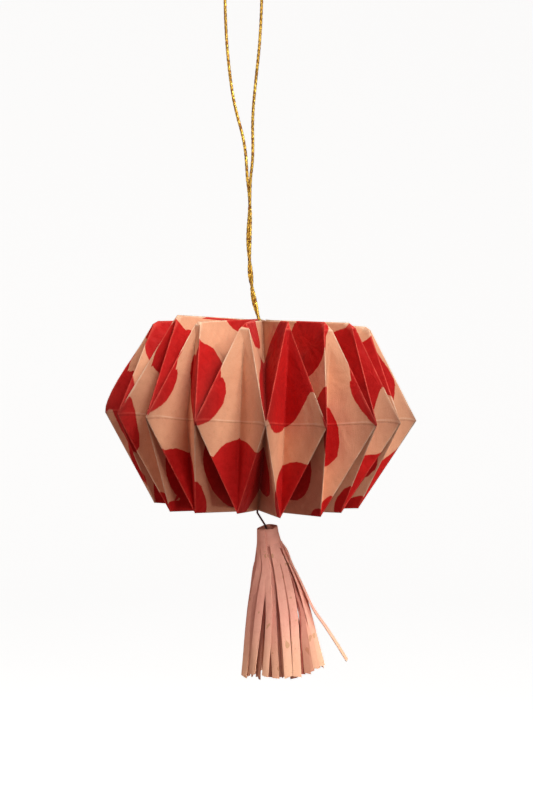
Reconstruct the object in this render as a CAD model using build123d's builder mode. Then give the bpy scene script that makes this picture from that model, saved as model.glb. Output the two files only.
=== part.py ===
from build123d import *
import math
import os

import numpy as np

os.makedirs("parts", exist_ok=True)

# Kusudama paper ball: one sheet of paper pleated into diamonds, rolled into a
# tube and drawn in at the top and the bottom. It hangs by a gold cord loop and
# carries a rolled paper tassel.
#
# Frame: millimetres, +Z up, +X to the right of the ball's front, -Y towards the
# viewer. The origin is the top of the hanging loop, on the cord's centreline.

# ---------------------------------------------------------------- dimensions
BALL_X = 4.85           # ball's centre, right of the hanging point
BALL_Z = -134.20        # ball's centre, below the hanging point
LEAN_DEG = 1.365        # the ball leans this much to its right
PAPER_T = 0.25          # thickness of the paper
MODULES = 16            # diamonds round the ball

CORD_D = 0.92           # gold cord
TWIST_D = 1.90          # two strands of it twisted together
LOOP_TOP_HALF = 5.75    # half the width of the loop's top
KNOT_R = 3.50           # stop knot under the gathered paper, radius
KNOT_H = 4.40           # and height

GATHER_MINOR = 0.20     # gathering threads, radius of the thread
TOP_GATHER_R = 2.40     # radius of the ring that the top thread makes
BOTTOM_GATHER_R = 2.40
TOP_GATHER_Z = 29.05    # height of the ring in the ball's own frame
BOTTOM_GATHER_Z = -28.35

LINK_D = 0.60           # dark thread that carries the tassel
LINK_KNOT_R = 2.80      # its knot inside the ball
TASSEL_KNOT_R = 1.10    # its knot inside the tassel's head

TASSEL_TOP = (2.40, -34.10)   # centre of the head's top, from the ball's centre
TASSEL_LEAN = 7.0             # the tassel hangs this far off plumb
HEAD_TOP_R = 3.30
HEAD_LOW_R = 4.45
HEAD_LEN = 7.20
STRIP_W = 2.00
STRIP_T = 0.28

# ------------------------------------------------- fold points of the sheet
# Each row holds one kind of fold point, module by module round the ball:
# (distance from the ball's axis, azimuth in degrees, height). Azimuth 0 faces
# the viewer and grows towards +X. Between E and the next E lies one diamond.
# E: a diamond's side corners, on the equator. M: its middle, on the valley that
# runs from its upper corner T to its lower corner B.
E = [(46.53, 2.0, -0.02), (46.37, 23.6, -0.33), (46.61, 45.3, 0.14), (46.56, 61.5, 0.14), (47.85, 86.0, -0.10), (46.85, 111.4, -0.03), (46.76, 132.7, -0.12), (46.66, 157.6, -0.03), (46.84, -179.3, 0.14), (46.82, -158.3, 0.04), (46.74, -134.6, 0.01), (46.74, -113.1, 0.04), (47.25, -88.6, 0.05), (46.65, -63.0, 0.52), (47.15, -42.8, 0.64), (45.97, -22.9, 0.36)]
M = [(33.47, 11.9, -0.28), (33.47, 34.9, -0.42), (32.82, 53.0, 0.26), (34.08, 74.1, 0.10), (34.30, 98.6, -0.13), (33.57, 121.8, -0.02), (34.08, 144.9, -0.02), (33.81, 169.4, 0.12), (33.58, -168.9, 0.15), (33.93, -146.7, 0.07), (33.62, -123.9, 0.08), (34.02, -100.8, -0.09), (33.85, -76.1, 0.36), (32.92, -51.5, 0.50), (34.10, -37.5, 0.07), (34.69, -9.1, 0.26)]
T = [(32.19, 13.2, 26.41), (32.24, 36.1, 26.41), (32.60, 55.4, 27.31), (33.50, 76.1, 26.87), (32.97, 98.5, 26.70), (32.79, 122.2, 26.97), (32.88, 144.7, 26.84), (32.83, 168.9, 27.03), (32.77, -168.7, 27.13), (32.80, -146.8, 26.94), (32.76, -124.1, 27.03), (32.86, -100.1, 26.76), (33.36, -78.6, 27.25), (32.61, -51.0, 28.10), (32.14, -35.0, 27.05), (31.96, -8.9, 26.24)]
# S: where the upper pleat's ridges start, just above T. V: the bottom of the
# groove between two diamonds. P: the drawn-in edge of the sheet at the top.
# Q: the edge's other folds, which turn down inside the ball.
S = [(29.85, 14.5, 28.69), (29.65, 37.1, 28.91), (30.48, 56.2, 29.00), (31.80, 78.2, 28.12), (30.73, 98.7, 28.20), (30.97, 122.2, 28.12), (30.99, 144.7, 28.04), (30.52, 168.9, 28.54), (31.12, -169.0, 28.15), (30.55, -146.9, 28.40), (30.50, -124.2, 28.51), (30.90, -99.9, 28.02), (31.65, -80.2, 28.34), (31.08, -52.2, 30.00), (31.26, -35.6, 28.05), (29.83, -8.9, 28.07)]
V = [(24.21, 2.1, 15.66), (24.05, 25.3, 15.26), (24.30, 48.9, 15.49), (24.37, 64.9, 15.57), (24.38, 87.4, 14.96), (24.47, 111.6, 15.39), (24.40, 133.0, 15.35), (24.41, 157.4, 15.50), (24.47, -179.5, 15.53), (24.44, -158.5, 15.45), (24.42, -134.7, 15.48), (24.44, -113.2, 15.52), (24.36, -88.3, 15.13), (24.57, -65.2, 16.15), (24.51, -43.0, 15.64), (23.96, -23.0, 15.88)]
P = [(3.31, 1.0, 29.31), (3.28, 23.4, 29.46), (3.33, 46.6, 29.34), (3.39, 69.3, 29.37), (3.41, 91.3, 29.30), (3.37, 113.9, 29.23), (3.36, 136.5, 29.28), (3.35, 159.0, 29.35), (3.36, -178.5, 29.31), (3.36, -156.0, 29.30), (3.35, -133.5, 29.34), (3.36, -111.0, 29.32), (3.42, -88.3, 29.35), (3.38, -66.6, 29.52), (3.34, -43.5, 29.15), (3.24, -20.7, 29.72)]
Q = [(10.89, 13.2, 16.68), (11.13, 35.4, 16.76), (10.72, 54.4, 16.64), (11.28, 76.1, 16.35), (11.19, 99.2, 16.09), (10.76, 121.9, 16.18), (10.86, 144.6, 16.09), (11.12, 168.9, 16.38), (10.68, -169.1, 16.21), (11.06, -147.0, 16.31), (10.96, -124.3, 16.45), (10.93, -100.6, 16.09), (11.57, -77.8, 16.26), (11.57, -53.2, 16.25), (10.00, -35.0, 16.39), (10.12, -10.0, 16.80)]
# B, LV, LP, LQ: the same four kinds of point on the lower half.
B = [(32.51, 11.5, -27.19), (32.46, 34.0, -27.14), (32.11, 49.6, -26.63), (31.98, 70.6, -26.44), (32.69, 99.4, -26.82), (32.55, 121.3, -26.87), (32.63, 144.9, -26.75), (32.59, 169.9, -26.66), (32.56, -169.1, -26.70), (32.61, -146.8, -26.67), (32.51, -123.7, -26.75), (32.63, -101.5, -26.82), (32.42, -73.6, -26.37), (32.83, -51.1, -27.50), (32.36, -33.7, -26.95), (32.19, -10.3, -26.24)]
LV = [(24.60, 1.8, -15.61), (24.42, 22.5, -15.70), (24.32, 40.3, -14.95), (24.06, 58.4, -14.80), (24.51, 86.5, -15.37), (24.45, 111.2, -15.14), (24.47, 132.7, -15.31), (24.45, 157.5, -15.31), (24.41, -179.1, -15.00), (24.45, -158.2, -15.11), (24.44, -134.6, -15.21), (24.41, -113.1, -15.15), (24.40, -89.1, -15.29), (24.09, -61.2, -14.54), (24.73, -40.5, -14.77), (24.07, -21.6, -15.24)]
LP = [(3.36, 2.1, -28.61), (3.32, 24.8, -28.74), (3.31, 46.5, -28.60), (3.25, 69.1, -28.67), (3.28, 92.1, -28.73), (3.35, 114.0, -28.65), (3.35, 136.5, -28.69), (3.34, 159.0, -28.71), (3.35, -178.5, -28.63), (3.35, -156.0, -28.63), (3.35, -133.5, -28.68), (3.34, -111.0, -28.68), (3.30, -88.7, -28.69), (3.30, -65.8, -28.68), (3.40, -43.4, -28.26), (3.29, -20.1, -28.95)]
LQ = [(10.02, 12.0, -15.43), (9.99, 34.2, -15.33), (9.48, 52.4, -15.26), (9.49, 73.7, -14.79), (10.23, 99.4, -14.98), (10.03, 121.5, -15.17), (10.11, 144.6, -15.04), (10.02, 169.2, -15.07), (9.97, -169.1, -15.13), (10.04, -146.9, -15.05), (9.92, -124.1, -15.20), (10.15, -101.2, -15.01), (9.95, -75.5, -14.62), (10.47, -53.2, -14.71), (9.61, -34.0, -15.33), (9.23, -10.3, -15.57)]
ROWS = {"E": E, "M": M, "T": T, "S": S, "V": V, "P": P, "Q": Q, "B": B, "LV": LV, "LP": LP, "LQ": LQ}
KINDS = list(ROWS)

# The flat panels between the folds of one module. A "+" means the next module.
PANELS = [
    ("E", "T", "M"), ("M", "T", "E+"), ("E", "M", "B"), ("M", "E+", "B"),
    ("E", "V", "T"), ("T", "V+", "E+"), ("V", "S", "T"), ("T", "S", "V+"),
    ("V", "P", "S"), ("S", "P+", "V+"), ("S", "P", "Q"), ("S", "Q", "P+"),
    ("E", "B", "LV"), ("B", "E+", "LV+"), ("LV", "B", "LP"), ("B", "LV+", "LP+"),
    ("B", "LQ", "LP"), ("B", "LP+", "LQ"),
]


def lean(x, y, z):
    """A point of the ball's own frame, in the part's frame."""
    c, s = math.cos(math.radians(LEAN_DEG)), math.sin(math.radians(LEAN_DEG))
    return (x * c + z * s + BALL_X, y, -x * s + z * c + BALL_Z)


def at(x, z, y=0.0):
    """A point given from the ball's centre, not leaning, in the part's frame."""
    return (x + BALL_X, y, z + BALL_Z)


# ------------------------------------------------------------ the paper ball
def fold_points():
    pts = []
    for k in range(MODULES):
        for kind in KINDS:
            r, az, z = ROWS[kind][k]
            a = math.radians(az)
            pts.append(lean(r * math.sin(a), -r * math.cos(a), z))
    return np.array(pts)


def panels():
    """Every panel as three point numbers, wound so that its normal points outwards."""
    out = []
    for k in range(MODULES):
        for panel in PANELS:
            tri = []
            for name in panel:
                kk = (k + 1) % MODULES if name.endswith("+") else k
                tri.append(kk * len(KINDS) + KINDS.index(name.rstrip("+")))
            out.append(tuple(tri))
    return out


def wind(pts, tris):
    """Turns neighbouring panels the same way round, starting from a diamond's panel that faces out."""
    by_edge = {}
    for i, t in enumerate(tris):
        for a, b in ((t[0], t[1]), (t[1], t[2]), (t[2], t[0])):
            by_edge.setdefault(frozenset((a, b)), []).append(i)
    tris = list(tris)
    a, b, c = (pts[j] for j in tris[0])
    centre = np.array(lean(0, 0, 0))
    if np.dot(np.cross(b - a, c - a), (a + b + c) / 3 - centre) < 0:
        tris[0] = tris[0][::-1]
    done, queue = {0}, [0]
    while queue:
        i = queue.pop()
        t = tris[i]
        for a, b in ((t[0], t[1]), (t[1], t[2]), (t[2], t[0])):
            for j in by_edge[frozenset((a, b))]:
                if j in done:
                    continue
                u = tris[j]
                if (a, b) in ((u[0], u[1]), (u[1], u[2]), (u[2], u[0])):
                    tris[j] = u[::-1]
                done.add(j)
                queue.append(j)
    return tris


def paper_back(pts, tris, t):
    """The points of the paper's back: each fold point moved in so that every panel is t thick."""
    normals = [[] for _ in pts]
    for tri in tris:
        a, b, c = (pts[j] for j in tri)
        n = np.cross(b - a, c - a)
        n = n / np.linalg.norm(n)
        for j in tri:
            normals[j].append(n)
    back = []
    for p, ns in zip(pts, normals):
        A = np.array(ns)
        w = np.ones(len(A))
        for _ in range(60):
            d, *_ = np.linalg.lstsq(
                np.vstack([A * w[:, None], 0.03 * np.eye(3)]),
                np.concatenate([-t * w, np.zeros(3)]),
                rcond=None,
            )
            thin = -A @ d < 0.45 * t
            if not thin.any():
                break
            w[thin] *= 1.25
        size = np.linalg.norm(d)
        if size > 4.5 * t:
            d = d * 4.5 * t / size
        back.append(p + d)
    return np.array(back)


outer = fold_points()
faces_out = wind(outer, panels())
inner = paper_back(outer, faces_out, PAPER_T)
n_pts = len(outer)

closed = [tuple(t) for t in faces_out]
closed += [(c + n_pts, b + n_pts, a + n_pts) for a, b, c in faces_out]
directed = {(t[i], t[(i + 1) % 3]) for t in faces_out for i in range(3)}
for a, b in sorted(directed):
    if (b, a) not in directed:          # a free edge of the sheet: close it to its back
        closed += [(b, a, a + n_pts), (b, a + n_pts, b + n_pts)]
corners = np.vstack([outer, inner])

paper_faces = [
    Face(Wire.make_polygon([Vector(*corners[j]) for j in tri], close=True)) for tri in closed
]
paper_solid = Solid(Shell(paper_faces))

with BuildPart() as folded_paper_ball:
    add(paper_solid)

sheet_area = sum(
    0.5 * np.linalg.norm(np.cross(outer[b] - outer[a], outer[c] - outer[a])) for a, b, c in faces_out
)
print("sheet area mm2", round(float(sheet_area), 1), "volume / (area x thickness)",
      round(abs(folded_paper_ball.part.volume) / (sheet_area * PAPER_T), 3))


# ------------------------------------------------------------------ the cord
def route(points):
    """Straight runs joined by arcs, each as large as its two runs allow. Returns points and radii."""
    radii = []
    for i in range(1, len(points) - 1):
        a, b, c = (Vector(*points[j]) for j in (i - 1, i, i + 1))
        half = (b - a).get_angle(c - b) / 2
        run = min((b - a).length, (c - b).length)
        radii.append(0.45 * run / math.tan(math.radians(half)))
    return points, radii


# From the twisted stretch up the left strand, over the top and down the right one.
LOOP = [
    at(-3.76, 72.30, 0.10), at(-4.98, 82.83, 0.05), at(-7.55, 93.55), at(-9.11, 103.62),
    at(-10.24, 116.16), (-LOOP_TOP_HALF, 0, 0), (LOOP_TOP_HALF, 0, 0), at(0.29, 114.91),
    at(-1.16, 101.74), at(-2.25, 90.38), at(-1.68, 79.04, -0.05), at(-2.80, 72.30, -0.10),
]
# The twisted stretch, down to the stop knot under the gathered paper.
TWIST = [
    at(-3.28, 72.30), at(-2.80, 63.40), at(-3.36, 54.30), at(-3.09, 46.70),
    at(-2.45, 39.60), at(-1.36, 33.40), at(0.38, 27.55),
]

loop_points, loop_radii = route(LOOP)
twist_points, twist_radii = route(TWIST)
print("loop radii", [round(r, 1) for r in loop_radii])
print("twist radii", [round(r, 1) for r in twist_radii])

with BuildPart() as hanging_cord_loop:
    with BuildLine() as loop_line:
        FilletPolyline(*loop_points, radius=loop_radii)
    with BuildSketch(Plane(origin=loop_line.line @ 0, z_dir=loop_line.line % 0)):
        Circle(CORD_D / 2)
    sweep(path=loop_line.wire())

with BuildPart() as hanging_cord_twist:
    with BuildLine() as twist_line:
        FilletPolyline(*twist_points, radius=twist_radii)
    with BuildSketch(Plane(origin=twist_line.line @ 0, z_dir=twist_line.line % 0)):
        Circle(TWIST_D / 2)
    sweep(path=twist_line.wire())

# Both ends of the loop bear on the top of the twisted stretch.
hanging_cord_loop.part = hanging_cord_loop.part - hanging_cord_twist.part

for what, piece, line, d in (
    ("loop", hanging_cord_loop, loop_line, CORD_D),
    ("twist", hanging_cord_twist, twist_line, TWIST_D),
):
    length = line.wire().length
    print(what, "length", round(length, 1), "volume / (section x length)",
          round(piece.part.volume / (math.pi * d * d / 4 * length), 4))

# The stop knot: a flattened ball that the twisted cord runs into.
knot_at = lean(0, 0, 25.60)
with BuildPart() as cord_knot:
    with BuildSketch(Plane.XZ):
        with BuildLine():
            knot_side = Spline((0, -KNOT_H / 2), (KNOT_R, 0), (0, KNOT_H / 2), tangents=((1, 0), (-1, 0)))
            Line(knot_side @ 1, knot_side @ 0)
        make_face()
    revolve(axis=Axis.Z)
cord_knot.part = cord_knot.part.moved(Location(knot_at))
cord_knot.part = cord_knot.part - hanging_cord_twist.part

# --------------------------------------------------------- gathering threads
top_ring_at = lean(0, 0, TOP_GATHER_Z)
with BuildPart() as top_gathering_thread:
    with Locations(Location(top_ring_at, (0, LEAN_DEG, 0))):
        Torus(TOP_GATHER_R, GATHER_MINOR)

bottom_ring_at = lean(0, 0, BOTTOM_GATHER_Z)
with BuildPart() as bottom_gathering_thread:
    with Locations(Location(bottom_ring_at, (0, LEAN_DEG, 0))):
        Torus(BOTTOM_GATHER_R, GATHER_MINOR)

# -------------------------------------------------- the tassel and its thread
lean_t = math.radians(TASSEL_LEAN)
axis_down = (math.sin(lean_t), 0.0, -math.cos(lean_t))
tassel_top = at(*TASSEL_TOP)
link_knot_at = lean(0, 0, -24.80)
link_low = tuple(tassel_top[i] + 3.6 * axis_down[i] for i in range(3))
link_exit = lean(0, 0, -29.80)          # straight down out of the ball, then over to the head
link_mouth = at(TASSEL_TOP[0] - 0.68, TASSEL_TOP[1] + 0.42)

with BuildPart() as tassel_thread:
    with BuildLine() as link_line:
        Polyline(link_knot_at, link_exit, link_mouth, link_low)
    with BuildSketch(Plane(origin=link_line.line @ 0, z_dir=link_line.line % 0)):
        Circle(LINK_D / 2)
    sweep(path=link_line.wire(), transition=Transition.ROUND)
    with Locations(link_knot_at):
        Sphere(LINK_KNOT_R)
    with Locations(link_low):
        Sphere(TASSEL_KNOT_R)

# Rings of strips: how many, radius in the head, start angle, flare at the bottom.
RINGS = [
    (13, 4.15, 0.0, 13.0),
    (9, 2.95, 14.0, 8.8),
    (5, 1.75, 30.0, 4.6),
]
# How far each outer strip hangs out at 14 mm, 24 mm and at its end, and how long it is.
OUTER_SHAPE = [
    (6.70, 10.1, 18.9, 44.6), (6.5, 9.3, 12.3, 46.0), (6.3, 8.9, 12.6, 46.5), (6.2, 8.5, 12.9, 46.4),
    (6.1, 8.3, 12.2, 46.7), (6.2, 8.4, 12.8, 46.3), (6.3, 8.5, 13.5, 45.8), (6.2, 8.3, 13.2, 46.2),
    (6.1, 8.5, 12.6, 46.6), (6.3, 8.4, 12.1, 46.5), (6.2, 8.7, 12.9, 46.3), (6.4, 9.0, 12.0, 46.7),
    (6.5, 9.4, 12.7, 45.9),
]


def strip_shape(ring, i, r_head, flare):
    if ring == 0:
        return OUTER_SHAPE[i]
    k = flare / 13.0
    wob = 0.35 * math.sin(2.3 * i + 1.7 * ring)
    return (r_head + 1.3 * k + 0.2 * wob, r_head + 4.2 * k + wob * 0.6, flare + wob, 46.2 + wob)


head_plane = Plane(origin=tassel_top, x_dir=(math.cos(lean_t), 0, math.sin(lean_t)),
                   z_dir=tuple(-v for v in axis_down))
with BuildPart() as tassel:
    with BuildSketch(Plane(origin=tassel_top, x_dir=head_plane.x_dir, z_dir=(0, -1, 0))) as head_section:
        with BuildLine():
            l1 = Line((0, 0), (HEAD_TOP_R - 0.5, 0))
            l2 = ThreePointArc(l1 @ 1, (HEAD_TOP_R - 0.12, -0.2), (HEAD_TOP_R, -0.7))
            l3 = Spline(l2 @ 1, (HEAD_TOP_R + 0.45, -3.6), (HEAD_LOW_R, -HEAD_LEN))
            l4 = Line(l3 @ 1, (0, -HEAD_LEN))
            Line(l4 @ 1, (0, 0))
        make_face()
    revolve(axis=Axis(tassel_top, axis_down))
    for ring, (count, r_head, start, flare) in enumerate(RINGS):
        for i in range(count):
            phi = math.radians(start + 360.0 * i / count)
            radial = head_plane.x_dir * math.cos(phi) + head_plane.y_dir * math.sin(phi)
            strip_plane = Plane(origin=tassel_top, x_dir=radial, z_dir=radial.cross(head_plane.z_dir))
            r14, r24, r_end, s_end = strip_shape(ring, i, r_head, flare)
            knots = [(r_head - 0.25, -5.2), (r_head + 0.28 * min(1, flare / 13), -8.4), (r14, -14.0), (r24, -24.0), (r_end, -s_end)]
            with BuildSketch(strip_plane):
                with BuildLine():
                    a = Spline(*knots)
                    b = Spline(*[(r + STRIP_T, s) for r, s in knots])
                    Line(a @ 0, b @ 0)
                    Line(a @ 1, b @ 1)
                make_face()
            extrude(amount=STRIP_W / 2, both=True)
tassel.part = tassel.part - tassel_thread.part

# -------------------------------------------------------------------- export
PIECES = {
    "folded_paper_ball": folded_paper_ball,
    "hanging_cord_loop": hanging_cord_loop,
    "hanging_cord_twist": hanging_cord_twist,
    "cord_knot": cord_knot,
    "top_gathering_thread": top_gathering_thread,
    "bottom_gathering_thread": bottom_gathering_thread,
    "tassel_thread": tassel_thread,
    "tassel": tassel,
}
for name, piece in PIECES.items():
    piece.part.label = name

export_step(folded_paper_ball.part, "parts/folded_paper_ball.step")
export_step(hanging_cord_loop.part, "parts/hanging_cord_loop.step")
export_step(hanging_cord_twist.part, "parts/hanging_cord_twist.step")
export_step(cord_knot.part, "parts/cord_knot.step")
export_step(top_gathering_thread.part, "parts/top_gathering_thread.step")
export_step(bottom_gathering_thread.part, "parts/bottom_gathering_thread.step")
export_step(tassel_thread.part, "parts/tassel_thread.step")
export_step(tassel.part, "parts/tassel.step")
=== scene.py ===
import math

import bmesh
import bpy
import numpy as np
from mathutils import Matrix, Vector, noise


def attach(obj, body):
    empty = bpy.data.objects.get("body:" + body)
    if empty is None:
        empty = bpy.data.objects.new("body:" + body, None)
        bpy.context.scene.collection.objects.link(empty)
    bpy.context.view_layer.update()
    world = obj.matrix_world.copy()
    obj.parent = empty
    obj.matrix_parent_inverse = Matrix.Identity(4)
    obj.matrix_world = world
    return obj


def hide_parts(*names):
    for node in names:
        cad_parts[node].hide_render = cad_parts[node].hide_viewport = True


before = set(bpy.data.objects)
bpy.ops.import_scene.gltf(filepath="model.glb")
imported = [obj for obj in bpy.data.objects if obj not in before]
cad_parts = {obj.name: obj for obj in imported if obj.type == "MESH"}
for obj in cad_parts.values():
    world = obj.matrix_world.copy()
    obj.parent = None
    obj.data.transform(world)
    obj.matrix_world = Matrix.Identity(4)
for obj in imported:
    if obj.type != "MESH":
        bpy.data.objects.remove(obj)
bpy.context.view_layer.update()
MM = 0.001

# The looks of the hanging pleated paper ball: a sheet of dotted paper folded into
# diamonds, a gold cord loop above and a rolled, fringed paper tassel below.
# Everything is worked out in millimetres in the part's own frame, with the
# origin at the top of the hanging loop, and turned into metres at the end.

BALL_X, BALL_Z, LEAN_DEG = 4.85, -134.20, 1.365


def lean(x, y, z):
    c, s = math.cos(math.radians(LEAN_DEG)), math.sin(math.radians(LEAN_DEG))
    return np.array((x * c + z * s + BALL_X, y, -x * s + z * c + BALL_Z))


def at(x, z, y=0.0):
    return np.array((x + BALL_X, y, z + BALL_Z))


def unit(v):
    v = np.asarray(v, float)
    return v / max(np.linalg.norm(v), 1e-12)


def mesh_object(name, verts, faces, material, smooth=True):
    """A mesh piece from points in millimetres, riding on the part's one body."""
    me = bpy.data.meshes.new(name)
    me.from_pydata([tuple(float(c) * MM for c in v) for v in verts], [], [tuple(int(i) for i in f) for f in faces])
    me.validate(clean_customdata=False)
    me.update()
    if smooth:
        me.polygons.foreach_set("use_smooth", [True] * len(me.polygons))
    ob = bpy.data.objects.new(name, me)
    bpy.context.scene.collection.objects.link(ob)
    if material:
        me.materials.append(material)
    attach(ob, "root")
    return ob


# ------------------------------------------------------------------ materials
class Graph:
    """A few short words for building a material's nodes."""

    def __init__(self, name):
        self.mat = bpy.data.materials.new(name)
        self.mat.use_nodes = True
        self.nt = self.mat.node_tree
        self.nt.nodes.clear()
        self.out = self.nt.nodes.new("ShaderNodeOutputMaterial")
        self.bsdf = self.nt.nodes.new("ShaderNodeBsdfPrincipled")
        self.nt.links.new(self.bsdf.outputs[0], self.out.inputs[0])

    def node(self, kind, **props):
        n = self.nt.nodes.new(kind)
        for k, v in props.items():
            setattr(n, k, v)
        return n

    def put(self, socket, value):
        if isinstance(value, bpy.types.NodeSocket):
            self.nt.links.new(value, socket)
        elif value is not None:
            socket.default_value = value

    def math(self, op, a, b=None, c=None, clamp=False):
        n = self.node("ShaderNodeMath", operation=op, use_clamp=clamp)
        self.put(n.inputs[0], a)
        if b is not None:
            self.put(n.inputs[1], b)
        if c is not None:
            self.put(n.inputs[2], c)
        return n.outputs[0]

    def ramp(self, value, lo, hi, to_lo=0.0, to_hi=1.0, smooth=True):
        n = self.node("ShaderNodeMapRange", interpolation_type="SMOOTHSTEP" if smooth else "LINEAR", clamp=True)
        self.put(n.inputs["Value"], value)
        self.put(n.inputs["From Min"], lo)
        self.put(n.inputs["From Max"], hi)
        self.put(n.inputs["To Min"], to_lo)
        self.put(n.inputs["To Max"], to_hi)
        return n.outputs["Result"]

    def mix(self, fac, a, b, blend="MIX"):
        n = self.node("ShaderNodeMix", data_type="RGBA", blend_type=blend, clamp_factor=True)
        self.put(n.inputs[0], fac)
        self.put(n.inputs[6], a)
        self.put(n.inputs[7], b)
        return n.outputs[2]

    def noise(self, vector, scale, detail=2.0, rough=0.5, distortion=0.0):
        n = self.node("ShaderNodeTexNoise")
        self.put(n.inputs["Vector"], vector)
        n.inputs["Scale"].default_value = scale
        n.inputs["Detail"].default_value = detail
        n.inputs["Roughness"].default_value = rough
        n.inputs["Distortion"].default_value = distortion
        return n.outputs["Fac"]

    def scaled(self, vector, sx, sy, sz):
        n = self.node("ShaderNodeVectorMath", operation="MULTIPLY")
        self.put(n.inputs[0], vector)
        n.inputs[1].default_value = (sx, sy, sz)
        return n.outputs[0]

    def attribute(self, name):
        n = self.node("ShaderNodeAttribute", attribute_name=name)
        return n.outputs["Vector"]

    def parts(self, vector):
        n = self.node("ShaderNodeSeparateXYZ")
        self.put(n.inputs[0], vector)
        return n.outputs[0], n.outputs[1], n.outputs[2]

    def bump(self, height, strength, distance, normal=None):
        n = self.node("ShaderNodeBump")
        n.inputs["Strength"].default_value = strength
        n.inputs["Distance"].default_value = distance
        self.put(n.inputs["Height"], height)
        if normal is not None:
            self.put(n.inputs["Normal"], normal)
        return n.outputs["Normal"]


def srgb(r, g, b):
    def one(c):
        c /= 255
        return c / 12.92 if c <= 0.04045 else ((c + 0.055) / 1.055) ** 2.4
    return (one(r), one(g), one(b), 1.0)


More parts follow.
